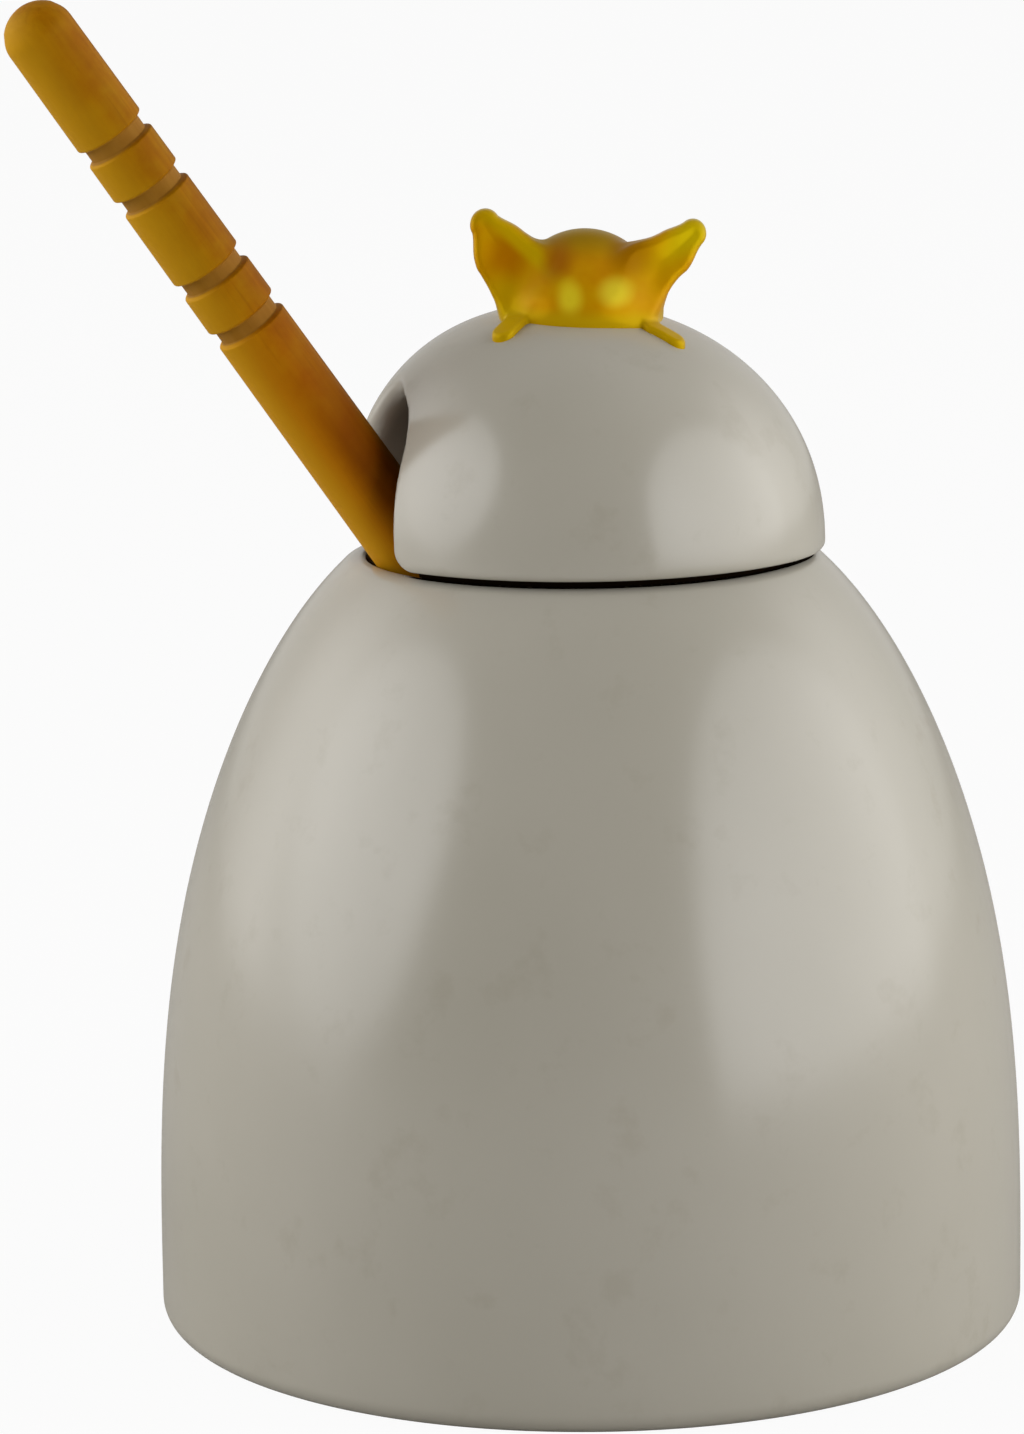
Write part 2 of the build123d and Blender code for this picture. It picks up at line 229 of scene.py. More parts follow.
# ---------------------------------------------------------------- colours
GLAZE_STOPS = [(0.3, srgb(186, 181, 167)), (0.7, srgb(194, 189, 176))]
GLAZE_SPECKS = [(0.30, (0.90, 0.88, 0.85, 1)), (0.42, (1, 1, 1, 1))]
GLAZE_ROUGHNESS = 0.20
GLAZE_SPECULAR = 0.5
# Painted shade in the gap between the lid and the rim
SEAM_PAINTED_SHADE = (0.008, 0.004, 0.0015, 1)
SEAM_ROUGHNESS = 0.9
SEAM_LEFT_END = (-21.5, -19.5)      # on the rim the painted shade fades out here

YELLOW_STOPS = [(0.32, srgb(204, 136, 0)), (0.5, srgb(210, 149, 1)), (0.68, srgb(212, 160, 3))]
# Painted shade on the body's top between the wings, which faces up
YELLOW_TOP_SHADE = srgb(168, 128, 0)
YELLOW_THIN = srgb(196, 164, 4)
YELLOW_FOOT = srgb(210, 176, 14)
# The dome under the bee, in metres: its height is TOP - FALL * radius ** POWER.
DOME_TOP, DOME_FALL, DOME_POWER = 0.1226, 107.5, 2.5
# Soft spots, seen from the front: colour, share of it in the middle, middle (x, z), half width
# and half height, and their turn in degrees; some are painted shade, light and highlights, as marked
YELLOW_SPOTS_AND_PAINTED_LIGHT = (
    (srgb(190, 114, 0), 0.80, (-8.6, 128.5), (4.0, 3.0), 60),
    (srgb(216, 182, 6), 0.75, (-6.6, 129.6), (8.0, 1.3), -41),
    # Pooled glaze and painted shade in the crease between the left wing and the body
    (srgb(168, 92, 0), 0.80, (-2.7, 127.9), (2.8, 2.2), 60),
    # Painted shade in the hollow right of the body, which faces away from the lamps
    (srgb(164, 104, 0), 0.80, (6.0, 128.6), (3.4, 2.8), 0),
    # Painted light on the right wing, which faces the right lamp
    (srgb(214, 190, 8), 0.80, (12.8, 130.4), (5.2, 2.4), 35),
    # Painted light low on the left wing
    (srgb(210, 172, 6), 0.60, (-8.6, 123.6), (4.0, 2.6), -60),
    # Painted highlights: two glints of the lamps on the head
    (srgb(240, 216, 40), 0.90, (-1.3, 124.0), (1.8, 2.4), 0),
    (srgb(238, 214, 50), 0.90, (4.0, 124.6), (2.4, 2.0), 0))

WOOD_STOPS = [(0.34, srgb(164, 98, 0)), (0.5, srgb(174, 113, 1)), (0.66, srgb(180, 126, 6))]
WOOD_GRAIN = [(0.35, (0.80, 0.72, 0.60, 1)), (0.60, (1.06, 1.06, 1.06, 1))]
WOOD_PORES = [(0.30, (0.72, 0.62, 0.50, 1)), (0.44, (1, 1, 1, 1))]
# Painted light on the stick's lower left side, and painted shade by the lid, on its upper side and along its
# far edge
WOOD_LIT_SIDE = srgb(210, 154, 22)
WOOD_LID_SHADE = (1.0, 0.74, 0.5, 1)
WOOD_UPPER_SHADE = srgb(126, 60, 0)
WOOD_FAR_SHADE = srgb(140, 94, 2)
WOOD_CUT = [(0.3, srgb(150, 102, 34)), (0.7, srgb(168, 120, 52))]
HANDLE_SKIN = 4.1           # the handle's wood is freshly cut below this radius
HEAD_SKIN = 10.0


# ---------------------------------------------------------------- material helpers
class Nodes:
    """Short calls for the nodes used here, in the node tree of a material, the world or a lamp."""

    def __init__(self, owner, output=None):
        owner.use_nodes = True
        self.owner = owner
        self.tree = owner.node_tree
        if output:
            self.tree.nodes.clear()
            self.output = self.add(output)

    def add(self, kind, **values):
        node = self.tree.nodes.new(kind)
        for key, value in values.items():
            setattr(node, key, value)
        return node

    def link(self, source, target):
        self.tree.links.new(source, target)

    def put(self, value, socket):
        """Links another node's output, or sets a plain value."""
        if hasattr(value, "is_linked"):
            self.link(value, socket)
        else:
            socket.default_value = value

    def shader(self, **values):
        node = self.add("ShaderNodeBsdfPrincipled")
        for key, value in values.items():
            node.inputs[key.replace("_", " ")].default_value = value
        self.link(node.outputs[0], self.output.inputs[0])
        return node

    def spot(self):
        """The place on the piece along its own axes, in metres."""
        return self.add("ShaderNodeTexCoord").outputs["Object"]

    def axes(self, vector):
        split = self.add("ShaderNodeSeparateXYZ")
        self.link(vector, split.inputs[0])
        return split.outputs

    def place(self, scale=(1, 1, 1)):
        mapping = self.add("ShaderNodeMapping")
        mapping.inputs["Scale"].default_value = scale
        self.link(self.spot(), mapping.inputs["Vector"])
        return mapping.outputs[0]

    def noise(self, vector, scale, detail, rough, distortion=0.0):
        node = self.add("ShaderNodeTexNoise")
        node.inputs["Scale"].default_value = scale
        node.inputs["Detail"].default_value = detail
        node.inputs["Roughness"].default_value = rough
        node.inputs["Distortion"].default_value = distortion
        self.link(vector, node.inputs["Vector"])
        return node.outputs["Fac"]

    def ramp(self, factor, stops):
        node = self.add("ShaderNodeValToRGB")
        elements = node.color_ramp.elements
        while len(elements) < len(stops):
            elements.new(0.5)
        for element, (position, colour) in zip(elements, stops):
            element.position = position
            element.color = colour
        self.link(factor, node.inputs[0])
        return node.outputs[0]

    def span(self, value, low, high, to_low=0.0, to_high=1.0, curve="SMOOTHSTEP"):
        """Goes from to_low to to_high as the value goes from low to high, and stays there."""
        node = self.add("ShaderNodeMapRange", interpolation_type=curve)
        node.inputs["From Min"].default_value = low
        node.inputs["From Max"].default_value = high
        node.inputs["To Min"].default_value = to_low
        node.inputs["To Max"].default_value = to_high
        self.link(value, node.inputs["Value"])
        return node.outputs[0]

    def mix(self, factor, first, second, blend="MIX"):
        node = self.add("ShaderNodeMix", data_type="RGBA", blend_type=blend)
        self.put(factor, node.inputs[0])
        self.put(first, node.inputs[6])
        self.put(second, node.inputs[7])
        return node.outputs[2]

    def math(self, operation, first, second=0.0):
        node = self.add("ShaderNodeMath", operation=operation)
        self.put(first, node.inputs[0])
        self.put(second, node.inputs[1])
        return node.outputs[0]

    def flat_length(self, x, y):
        return self.math("SQRT", self.math("ADD", self.math("MULTIPLY", x, x), self.math("MULTIPLY", y, y)))

    def length(self, vector):
        node = self.add("ShaderNodeVectorMath", operation="LENGTH")
        self.link(vector, node.inputs[0])
        return node.outputs["Value"]

    def bump(self, height, strength, distance, normal=None):
        node = self.add("ShaderNodeBump")
        node.inputs["Strength"].default_value = strength
        node.inputs["Distance"].default_value = distance
        self.link(height, node.inputs["Height"])
        if normal is not None:
            self.link(normal, node.inputs["Normal"])
        return node.outputs[0]

    def shader_mix(self, factor, first, second):
        node = self.add("ShaderNodeMixShader")
        self.link(factor, node.inputs[0])
        self.link(first.outputs[0], node.inputs[1])
        self.link(second.outputs[0], node.inputs[2])
        self.link(node.outputs[0], self.output.inputs[0])


def new_material(name):
    return Nodes(bpy.data.materials.new(name), "ShaderNodeOutputMaterial")


# ---------------------------------------------------------------- materials
def seam_shade(m):
    """1 in the narrow gap between the lid and the rim, for painted shade where the gap's shadow falls."""
    above_crest = (POT_HEIGHT + 0.1) * MM, (POT_HEIGHT + 0.4) * MM
    x, y, z = m.axes(m.spot())
    radius = m.flat_length(x, y)
    sink = m.span(y, EDGE_SINK_FROM * MM, 0.0, 0.0, EDGE_SINK * MM)
    height = m.math("ADD", z, sink)
    below = m.span(height, (EDGE_HEIGHT + 0.03) * MM, (EDGE_HEIGHT + 0.17) * MM, 1.0, 0.0)
    above = m.span(z, (POT_HEIGHT - 0.6) * MM, (POT_HEIGHT - 0.5) * MM)
    # It reaches 1.2 mm further out on the lid than on the rim, and a little less far at the back.
    out = m.math("SUBTRACT", radius, m.math("MULTIPLY", m.span(height, *above_crest), 1.2 * MM))
    out = m.math("ADD", out, m.math("MULTIPLY", sink, 0.6))
    within = m.span(out, (SEAT_RADIUS + 0.35) * MM, (SEAT_RADIUS + 0.5) * MM, 1.0, 0.0)
    # The lid has it all round, and the rim only where the lid covers it, so not in the notch.
    covered = m.span(x, SEAM_LEFT_END[0] * MM, SEAM_LEFT_END[1] * MM)
    within = m.math("MULTIPLY", within, m.math("MAXIMUM", covered, m.span(z, *above_crest)))
    beyond = m.span(radius, (MOUTH_RADIUS + 0.3) * MM, (MOUTH_RADIUS + 0.5) * MM)
    return m.math("MULTIPLY", m.math("MULTIPLY", below, above), m.math("MULTIPLY", within, beyond))


def glaze_material():
    """Off-white stoneware glaze: soft mottling, faint specks and orange peel, and painted shade in the
    seam's gap.
    """
    m = new_material("off_white_glaze")
    shader = m.shader(Roughness=GLAZE_ROUGHNESS, IOR=1.62)
    place = m.place()
    cloud = m.noise(place, scale=22, detail=3, rough=0.5)
    fine = m.noise(place, scale=160, detail=4, rough=0.6)
    colour = m.mix(0.5, m.ramp(cloud, GLAZE_STOPS), m.ramp(fine, GLAZE_SPECKS), "MULTIPLY")
    seam = seam_shade(m)
    # Painted shade: the seam's gap is coloured near black, rough and without reflection
    m.link(m.mix(seam, colour, SEAM_PAINTED_SHADE), shader.inputs["Base Color"])
    m.link(m.span(seam, 0.0, 1.0, GLAZE_ROUGHNESS, SEAM_ROUGHNESS), shader.inputs["Roughness"])
    m.link(m.span(seam, 0.0, 1.0, GLAZE_SPECULAR, 0.0), shader.inputs["Specular IOR Level"])
    wave = m.noise(place, scale=30, detail=2, rough=0.5)
    peel = m.noise(place, scale=420, detail=2, rough=0.5)
    normal = m.bump(wave, 0.25, 0.6 * MM)
    m.link(m.bump(peel, 0.10, 0.08 * MM, normal), shader.inputs["Normal"])
    return m.owner


def yellow_spot(m, share, middle, reach, turn):
    """A soft ellipse seen from the front: its share in the middle, and 0 a little outside it."""
    where = m.add("ShaderNodeMapping", vector_type="TEXTURE")
    m.link(m.spot(), where.inputs["Vector"])
    where.inputs["Location"].default_value = (middle[0] * MM, 0, middle[1] * MM)
    where.inputs["Rotation"].default_value = (0, -radians(turn), 0)
    where.inputs["Scale"].default_value = (reach[0] * MM, 1, reach[1] * MM)
    return m.span(m.length(where.outputs[0]), 0.2, 1.2, share, 0.0)


def yellow_material():
    """Amber-yellow glaze: orange and darker where it pools, lemon where it runs thin, with painted shade,
    painted light and painted highlights.
    """
    m = new_material("yellow_glaze")
    shader = m.shader(Roughness=0.30, IOR=1.5, Metallic=0.10, Specular_IOR_Level=0.14,
                      Specular_Tint=(0.7, 1.0, 0.02, 1.0))
    place = m.place()
    x, y, z = m.axes(m.spot())
    colour = m.ramp(m.noise(place, scale=140, detail=3, rough=0.55), YELLOW_STOPS)
    # Painted shade: darker on the body's top between the wings, which faces up
    painted_top_shade = m.span(z, 127.5 * MM, 130.5 * MM)
    between_wings = m.span(m.math("ABSOLUTE", x), 5.0 * MM, 8.5 * MM, 1.0, 0.0)
    colour = m.mix(m.math("MULTIPLY", painted_top_shade, between_wings), colour, YELLOW_TOP_SHADE)
    # Glaze pools, and painted shade, painted light and painted highlights
    for paint, share, middle, reach, turn in YELLOW_SPOTS_AND_PAINTED_LIGHT:
        colour = m.mix(yellow_spot(m, share, middle, reach, turn), colour, paint)
    tips = m.span(z, 131.3 * MM, 133.0 * MM)
    colour = m.mix(m.math("MULTIPLY", tips, 0.5), colour, YELLOW_THIN)
    # Lemon where it meets the lid
    radius = m.flat_length(m.math("ADD", x, LID_SWAY * MM), y)
    dome = m.math("SUBTRACT", DOME_TOP, m.math("MULTIPLY", m.math("POWER", radius, DOME_POWER), DOME_FALL))
    foot = m.span(m.math("SUBTRACT", z, dome), 0.2 * MM, 2.0 * MM, 0.7, 0.0)
    m.link(m.mix(foot, colour, YELLOW_FOOT), shader.inputs["Base Color"])
    peel = m.noise(place, scale=300, detail=2, rough=0.5)
    m.link(m.bump(peel, 0.12, 0.1 * MM), shader.inputs["Normal"])
    return m.owner


def wood_material(name, skin):
    """Honey-coloured oiled wood, grain along local Z; paler where it is cut below the radius skin; with
    painted light and shade on its sides and by the lid.

    Local Z runs up the stick, and local -Y is its lower left side as it leans.
    """
    m = new_material(name)
    shader = m.shader(Roughness=0.55, IOR=1.45, Specular_IOR_Level=0.12, Specular_Tint=(1.0, 0.75, 0.3, 1.0))
    place = m.place()
    long_grain = m.place((1, 1, 0.05))
    cloud = m.noise(place, scale=160, detail=4, rough=0.6)
    bands = m.noise(long_grain, scale=420, detail=3, rough=0.55, distortion=0.6)
    streaks = m.noise(long_grain, scale=1900, detail=3, rough=0.6)
    colour = m.mix(0.75, m.ramp(cloud, WOOD_STOPS), m.ramp(bands, WOOD_GRAIN), "MULTIPLY")
    colour = m.mix(0.45, colour, m.ramp(streaks, WOOD_PORES), "MULTIPLY")
    spot = m.spot()
    _, y, z = m.axes(spot)
    # Painted light: lighter along the lower left side, which faces the floor and the left lamps
    painted_light_side = m.span(y, -4.2 * MM, 1.2 * MM, 0.95, 0.0)
    colour = m.mix(painted_light_side, colour, WOOD_LIT_SIDE)
    # Painted shade by the lid: redder and darker, up to the lower grooves, but hardly on the lower left side
    painted_lid_shade = m.math("MULTIPLY", m.span(z, 126 * MM, 148 * MM, 1.0, 0.0),
                     m.span(y, -4.2 * MM, -1.8 * MM, 0.2, 1.0))
    colour = m.mix(painted_lid_shade, colour, WOOD_LID_SHADE, "MULTIPLY")
    # Painted shade: browner there on the upper side, which the lid keeps from the light
    painted_upper_shade = m.math("MULTIPLY", m.span(z, 116 * MM, 136 * MM, 0.7, 0.0),
                   m.span(y, -2.6 * MM, 0.4 * MM))
    colour = m.mix(painted_upper_shade, colour, WOOD_UPPER_SHADE)
    # Painted shade: darker along the far edge of the upper side
    painted_far_shade = m.span(y, 3.0 * MM, 4.6 * MM, 0.0, 0.5)
    colour = m.mix(painted_far_shade, colour, WOOD_FAR_SHADE)
    # Paler in the grooves and slots, where the radius is small, but not on the domed end
    flat = m.add("ShaderNodeVectorMath", operation="MULTIPLY")
    flat.inputs[1].default_value = (1, 1, 0)
    m.link(spot, flat.inputs[0])
    cut = m.span(m.length(flat.outputs[0]), (skin - 0.3) * MM, skin * MM, 1.0, 0.0)
    below_cap = m.span(z, 178.5 * MM, 179.5 * MM, 1.0, 0.0)
    cut = m.math("MULTIPLY", m.math("MULTIPLY", cut, below_cap), 0.8)
    m.link(m.mix(cut, colour, m.ramp(bands, WOOD_CUT)), shader.inputs["Base Color"])
    m.link(m.bump(streaks, 0.15, 0.08 * MM), shader.inputs["Normal"])
    return m.owner


# ---------------------------------------------------------------- mesh helpers
def new_object(name, vertices, faces, material):
    """A smooth-shaded object; vertices in millimetres."""
    mesh = bpy.data.meshes.new(name)
    mesh.from_pydata((np.asarray(vertices) * MM).tolist(), [], faces)
    mesh.validate()
    mesh.update()
    mesh.polygons.foreach_set("use_smooth", [True] * len(mesh.polygons))
    mesh.materials.append(material)
    thing = bpy.data.objects.new(name, mesh)
    bpy.context.scene.collection.objects.link(thing)
    return thing


def lathe(profile, around):
    """A revolved mesh about Z from (r, z) points; a point at r = 0 becomes a pole."""
    vertices, rings, faces = [], [], []
    for r, z in profile:
        if r < 1e-6:
            rings.append([len(vertices)])
            vertices.append((0, 0, z))
        else:
            rings.append(list(range(len(vertices), len(vertices) + around)))
            for k in range(around):
                turn = 2 * pi * k / around
                vertices.append((r * cos(turn), r * sin(turn), z))
    for low, high in zip(rings, rings[1:]):
        for k in range(around):
            n = (k + 1) % around
            face = []
            for v in (low[k % len(low)], low[n % len(low)], high[n % len(high)], high[k % len(high)]):
                if v not in face:
                    face.append(v)
            if len(face) > 2:
                faces.append(face)
    return np.array(vertices), faces


def arc(cx, cz, r, start, end, steps):
    """Points of an arc, angles in degrees."""
    return [(cx + r * cos(radians(start + (end - start) * k / steps)),
             cz + r * sin(radians(start + (end - start) * k / steps))) for k in range(steps + 1)]


def bezier(points, steps):
    """Points of a Bezier curve of any degree, by repeated division of its handles."""
    out = []
    for k in range(steps + 1):
        t = k / steps
        row = [np.array(p, float) for p in points]
        while len(row) > 1:
            row = [a * (1 - t) + b * t for a, b in zip(row, row[1:])]
        out.append(tuple(row[0]))
    return out


def rounded(points, radii, steps=5):
    """A profile through the points, its corners rounded with their own radii."""
    most = 0.49                 # of a side that one rounding may take
    out = [points[0]]
    for before, corner, after, r in zip(points, points[1:], points[2:], radii):
        p = np.array(corner, float)
        a = np.array(before, float) - p
        b = np.array(after, float) - p
        a_length, b_length = np.linalg.norm(a), np.linalg.norm(b)
        half = acos(np.clip(a @ b / a_length / b_length, -1, 1)) / 2
        back = min(r / tan(half), most * a_length, most * b_length) if r > 0 else 0
        if back <= 0:
            out.append(corner)
            continue
        start, end = p + a / a_length * back, p + b / b_length * back
        for k in range(steps + 1):
            t = k / steps
            out.append(tuple(start * (1 - t) ** 2 + 2 * t * (1 - t) * p + end * t ** 2))
    out.append(points[-1])
    return out


def smooth_step(value, low, high):
    """0 up to low and 1 from high on, with a soft start and end."""
    t = np.clip((value - low) / (high - low), 0, 1)
    return t * t * (3 - 2 * t)


def round_max(distances, r):
    """Intersection of solids given by signed distances, its edges rounded with radius r."""
    inside = np.minimum(np.maximum.reduce(distances), -r)
    return inside + np.sqrt(sum(np.maximum(d + r, 0) ** 2 for d in distances))


def soft_min(a, b, k):
    """Union of two solids with a fillet of about k."""
    h = np.clip(0.5 + 0.5 * (b - a) / k, 0, 1)
    return b * (1 - h) + a * h - k * h * (1 - h)


def implicit_mesh(function, low, high, cell):
    """Quads on the surface function = 0, one vertex a cell, each then moved onto the surface."""
    axes = [np.arange(start, end + cell, cell) for start, end in zip(low, high)]
    grid = np.stack(np.meshgrid(*axes, indexing="ij"), -1)
    field = function(grid.reshape(-1, 3)).reshape(grid.shape[:3])
    inside = field < 0
    shape = np.array(field.shape) - 1
    total = np.zeros((*shape, 3))
    count = np.zeros(shape)
    crossings = []
    for axis in range(3):
        first = [slice(None)] * 3
        second = [slice(None)] * 3
        first[axis] = slice(0, -1)
        second[axis] = slice(1, None)
        first, second = tuple(first), tuple(second)
        where = np.argwhere(inside[first] != inside[second])
        a = field[first][tuple(where.T)]
        b = field[second][tuple(where.T)]
        point = where.astype(float)
        point[:, axis] += a / (a - b)
        u, v = (axis + 1) % 3, (axis + 2) % 3
        for du in (0, 1):
            for dv in (0, 1):
                cell_index = where.copy()
                cell_index[:, u] -= du
                cell_index[:, v] -= dv
                ok = ((cell_index >= 0) & (cell_index < shape)).all(1)
                index = tuple(cell_index[ok].T)
                np.add.at(total, index, point[ok])
                np.add.at(count, index, 1)
        crossings.append((axis, where, a < 0))
    active = np.argwhere(count > 0)
    number = -np.ones(shape, int)
    number[tuple(active.T)] = np.arange(len(active))
    vertices = total[tuple(active.T)] / count[tuple(active.T)][:, None] * cell + np.array(low)
    for _ in range(SETTLE_STEPS):
        value = function(vertices)
        slope = np.stack([function(vertices + SLOPE_STEP * e) - function(vertices - SLOPE_STEP * e)
                          for e in np.eye(3)], -1) / (2 * SLOPE_STEP)
        move = value[:, None] * slope / np.maximum((slope ** 2).sum(1), SLOPE_LEAST)[:, None]
        length = np.sqrt((move ** 2).sum(1))[:, None]
        vertices = vertices - move * np.minimum(1, cell / np.maximum(length, 1e-9))
    faces = []
    for axis, where, outward in crossings:
        u, v = (axis + 1) % 3, (axis + 2) % 3
        keep = (where[:, u] > 0) & (where[:, v] > 0) & (where[:, u] < shape[u]) & (where[:, v] < shape[v])
        where, outward = where[keep], outward[keep]
        corners = []
        for du, dv in ((1, 1), (0, 1), (0, 0), (1, 0)):
            index = where.copy()
            index[:, u] -= du
            index[:, v] -= dv
            corners.append(number[tuple(index.T)])
        quads = np.stack(corners, 1)
        quads[~outward] = quads[~outward][:, ::-1]
        faces.append(quads)
    return vertices, np.concatenate(faces).tolist()


# ---------------------------------------------------------------- jar
def jar_profile():
    """The jar's whole section, from the middle of its underside round to the middle of its floor."""
    drop = NECK_RUN * tan(NECK_PITCH)
    neck_in, neck_down = POT_WALL * sin(NECK_PITCH), POT_WALL * cos(NECK_PITCH)
    bulge_drop = POT_WALL * tan(NECK_PITCH / 2)
    crest = RIM_RADIUS - RIM_ROUND * tan(NECK_PITCH / 2)
    shoulder_end = crest + RIM_ROUND * sin(NECK_PITCH)
    ring_inside = POT_RADIUS - FOOT_RING
    side = bezier([(POT_RADIUS, POT_SKIRT),
                   (POT_RADIUS, POT_FLANK),
                   (BULGE_RADIUS, BULGE_HEIGHT),
                   (RIM_RADIUS + NECK_RUN, POT_HEIGHT - drop),
                   (RIM_RADIUS, POT_HEIGHT)], 72)
    cavity = bezier([(INSIDE_RADIUS, POT_FLOOR + POT_CORNER),
                     (INSIDE_RADIUS, POT_FLANK),
                     (BULGE_RADIUS - POT_WALL, BULGE_HEIGHT - bulge_drop),
                     (RIM_RADIUS + NECK_RUN - neck_in, POT_HEIGHT - drop - neck_down),
                     (RIM_RADIUS - neck_in, POT_HEIGHT - neck_down)], 48)
    points = [(0, FOOT_RECESS), (ring_inside - EDGE_RING, FOOT_RECESS)]
    points += arc(ring_inside + FOOT_RECESS, FOOT_RECESS, FOOT_RECESS, 180, 270, 6)
    points += arc(POT_RADIUS - FOOT_ROUND, FOOT_ROUND, FOOT_ROUND, -90, 0, 12)
    points += [q for q in side if q[0] > shoulder_end + WELD]
    points += arc(crest, POT_HEIGHT - RIM_ROUND, RIM_ROUND, 90 - degrees(NECK_PITCH), 90, 8)
    points += arc(MOUTH_RADIUS + MOUTH_ROUND, POT_HEIGHT - MOUTH_ROUND, MOUTH_ROUND, 90, 180, 5)
    points += [(MOUTH_RADIUS, POT_HEIGHT - down) for down in BORE_RINGS]
    points += [q for q in reversed(cavity) if q[0] > MOUTH_RADIUS + WELD]
    points += arc(INSIDE_RADIUS - POT_CORNER, POT_FLOOR + POT_CORNER, POT_CORNER, 0, -90, 10)[1:]
    points += [(FLOOR_RING, POT_FLOOR), (0, POT_FLOOR)]
    return points


# ---------------------------------------------------------------- lid
def dome_distance(p, grow):
    """About the distance to the lid's domed outside, grown by some millimetres."""
    rise, radius = LID_RISE + grow, LID_RADIUS + grow
    climb = np.clip((p[:, 2] - EDGE_HEIGHT) / rise, 0, None)
    sway = LID_SWAY * np.minimum(climb, 1.2) ** LID_SWAY_POWER
    out = np.hypot(p[:, 0] + sway, p[:, 1]) / radius
    return radius * ((out ** LID_FULLNESS + climb ** LID_FULLNESS) ** (1 / LID_FULLNESS) - 1)


def notch_distance(p, grow=0.0):
    """Distance to the notch's prism: a round arch on sides that spread towards the rim."""
    side = p[:, 0] * NOTCH_SIDE[0] + p[:, 1] * NOTCH_SIDE[1]
    out = p[:, 0] * NOTCH_OUT[0] + p[:, 1] * NOTCH_OUT[1]
    across, up = np.abs(side), np.maximum(p[:, 2] - POT_HEIGHT, 0)
    foot = np.where(side > 0, NOTCH_NEAR_FOOT, NOTCH_FAR_FOOT)
    reach = np.hypot(foot, NOTCH_ARCH_UP)
    tilt = np.arccos(NOTCH_ARCH / reach) - np.arctan2(NOTCH_ARCH_UP, foot)
    flank = (across - foot) * np.cos(tilt) + up * np.sin(tilt)
    round_top = np.hypot(across, up - NOTCH_ARCH_UP) - NOTCH_ARCH
    beyond = (up - NOTCH_ARCH_UP) * np.cos(tilt) - across * np.sin(tilt)
    shape = np.where(beyond > 0, round_top, flank) - grow
    return np.maximum(shape, -out)


def lid_distance(p):
    """Domed shell with its notch, and inside it the flange and the seat."""
    radius, up = np.hypot(p[:, 0], p[:, 1]), p[:, 2]
    side = p[:, 0] * NOTCH_SIDE[0] + p[:, 1] * NOTCH_SIDE[1]
    edge = EDGE_HEIGHT - EDGE_SINK * smooth_step(p[:, 1], EDGE_SINK_FROM, 0)
    softer = smooth_step(-side, *FAR_EDGE_SIDE) * smooth_step(up, *FAR_EDGE_UP)
    opening = round_max([-notch_distance(p), edge - up], NOTCH_RUN_OUT)
    body = round_max([dome_distance(p, 0), opening], LID_ROUND + FAR_EDGE_SOFTER * softer)
    near_notch = smooth_step(-notch_distance(p, NOTCH_WALL_REACH), 0, NOTCH_WALL_FADE)
    wall = LID_WALL + NOTCH_WALL_MORE * near_notch * smooth_step(up, *NOTCH_WALL_UP)
    body = round_max([body, -dome_distance(p, -wall)], VAULT_ROUND)
    flange = round_max([radius - FLANGE_RADIUS, FLANGE_INSIDE - radius,
                        FLANGE_FOOT - up, up - RING_TOP], FLANGE_ROUND)
    even = 0.7                  # rise and run of the slope count alike: 45 degrees
    slope = (FLANGE_INSIDE - radius) * even + (up - POT_HEIGHT - SEAT_SLOPE_UP) * even
    seat = round_max([radius - SEAT_RADIUS, FLANGE_INSIDE - radius,
                      POT_HEIGHT - up, up - RING_TOP, slope], SEAT_ROUND)
    ring = soft_min(flange, seat, RING_FILLET)
    ring = round_max([ring, -notch_distance(p, RING_SETBACK)], RING_END_ROUND)
    return soft_min(body, ring, RING_FILLET)


# ---------------------------------------------------------------- bee
def ellipsoid(p, centre, radii):
    """About the distance to an ellipsoid."""
    q = (p - np.array(centre)) / np.array(radii)
    k0 = np.sqrt((q ** 2).sum(1))
    k1 = np.sqrt(((q / np.array(radii)) ** 2).sum(1))
    return k0 * (k0 - 1) / np.maximum(k1, 1e-9)


def chain(a, b, circles, k):
    """Flat distance to an outline that joins circles (a, b, radius) one after the other."""
    out = None
    for (a0, b0, r0), (a1, b1, r1) in zip(circles, circles[1:]):
        d = np.array([a1 - a0, b1 - b0])
        t = np.clip(((a - a0) * d[0] + (b - b0) * d[1]) / (d @ d), 0, 1)
        piece = np.hypot(a - a0 - t * d[0], b - b0 - t * d[1]) - (r0 + (r1 - r0) * t)
        out = piece if out is None else soft_min(out, piece, k)
    return out


def wing(p, circles, middle, slope_x, slope_z, thick, rim, dish):
    """A raised wing, its outline drawn from the front, on a plane that leans; its front is dished."""
    plan = chain(p[:, 0], p[:, 2], circles, WING_OUTLINE_FILLET)
    x, y, z = middle
    level = p[:, 1] - y - slope_x * (p[:, 0] - x) - slope_z * (p[:, 2] - z)
    level = level / hypot(1, slope_x, slope_z)
    hollow = dish * smooth_step(-plan, 0, rim)
    return round_max([plan, hollow - thick / 2 - level, level - thick / 2], WING_ROUND)


def leg(p, circles):
    """A flat strip on the dome, drawn from above."""
    plan = chain(p[:, 0], p[:, 1], circles, LEG_OUTLINE_FILLET)
    return round_max([plan, dome_distance(p, 0) - LEG_HEIGHT], LEG_ROUND)


def bee_distance(p):
    """One glazed figure: a round body, a small head in front, two raised wings and two flat legs."""
    body = soft_min(ellipsoid(p, *THORAX), ellipsoid(p, *ABDOMEN), ABDOMEN_FILLET)
    body = soft_min(body, ellipsoid(p, *FACE), FACE_FILLET)
    body = soft_min(body, wing(p, *LEFT_WING), WING_FILLET)
    body = soft_min(body, wing(p, *RIGHT_WING), WING_FILLET)
    body = soft_min(body, np.minimum(leg(p, LEFT_LEG), leg(p, RIGHT_LEG)), LEG_FILLET)
    return round_max([body, -BEE_SINK - dome_distance(p, 0)], BEE_FOOT_ROUND)


